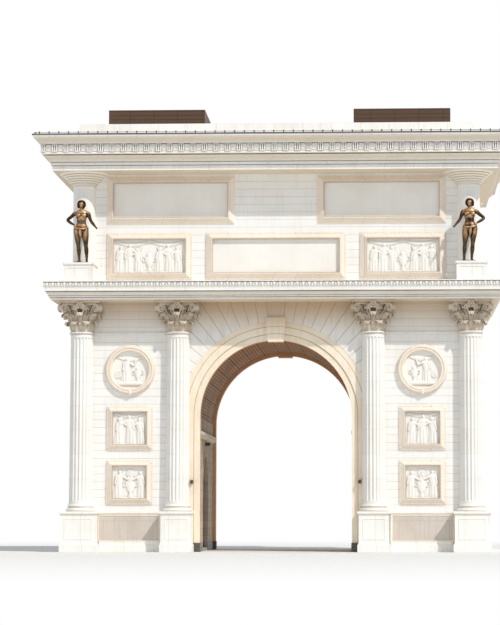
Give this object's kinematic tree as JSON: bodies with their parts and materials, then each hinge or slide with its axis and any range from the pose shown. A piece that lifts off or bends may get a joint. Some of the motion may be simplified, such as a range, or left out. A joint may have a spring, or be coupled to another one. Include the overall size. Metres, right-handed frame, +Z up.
{
  "type": "triumphal arch",
  "caption": "Free-standing stone triumphal arch with a vaulted passage, engaged fluted columns, relief panels, corner statues and a deep cornice",
  "frame": {"origin": "centre of the base on the ground", "axes": "X along the facade, -Y is the front, +Z up, the passage runs along Y"},
  "size_m": [23.4, 15.2, 22.33],
  "materials": {
    "white_stone": "honed pale marble cladding",
    "frame_stone": "carved pale marble",
    "carved_stone": "carved weathered limestone",
    "dado_stone": "honed pink-grey marble",
    "sandstone": "sawn beige sandstone",
    "vault_stone": "grey-brown stone courses",
    "plinth_stone": "dark grey stone",
    "concrete": "trowelled concrete",
    "bronze": "dark patinated bronze",
    "roof_cladding": "brown cladding sheet",
    "dark_metal": "dark grey paint"
  },
  "bodies": {
    "root": {"attic_floor": "concrete", "attic_panels": "frame_stone", "barrel_vault": "vault_stone", "capitals": "carved_stone", "column_bases": "white_stone", "column_shafts": "white_stone", "corner_drums": "white_stone", "dados": "dado_stone", "doorway_surrounds": "vault_stone", "flank_walls": "white_stone", "front_arch_wall": "white_stone", "front_archivolt": "sandstone", "front_attic_wall": "white_stone", "front_cornice": "white_stone", "front_entablature": "white_stone", "front_pier_walls": "white_stone", "jamb_lamps": "dark_metal", "keystones": "sandstone", "left_attic_wall": "white_stone", "left_cornice": "white_stone", "left_entablature": "white_stone", "long_parapets": "white_stone", "medallions": "frame_stone", "passage_imposts": "vault_stone", "passage_lamps": "dark_metal", "passage_plinths": "plinth_stone", "passage_walls": "vault_stone", "pedestals": "white_stone", "pier_floors": "concrete", "pier_panels": "frame_stone", "rear_arch_wall": "white_stone", "rear_archivolt": "sandstone", "rear_attic_wall": "white_stone", "rear_cornice": "white_stone", "rear_entablature": "white_stone", "rear_pier_walls": "white_stone", "right_attic_wall": "white_stone", "right_cornice": "white_stone", "right_entablature": "white_stone", "roof_boxes": "roof_cladding", "roof_deck": "concrete", "side_parapets": "white_stone", "statue_pedestals": "white_stone", "statues": "bronze", "string_courses": "white_stone"}
  },
  "joints": []
}
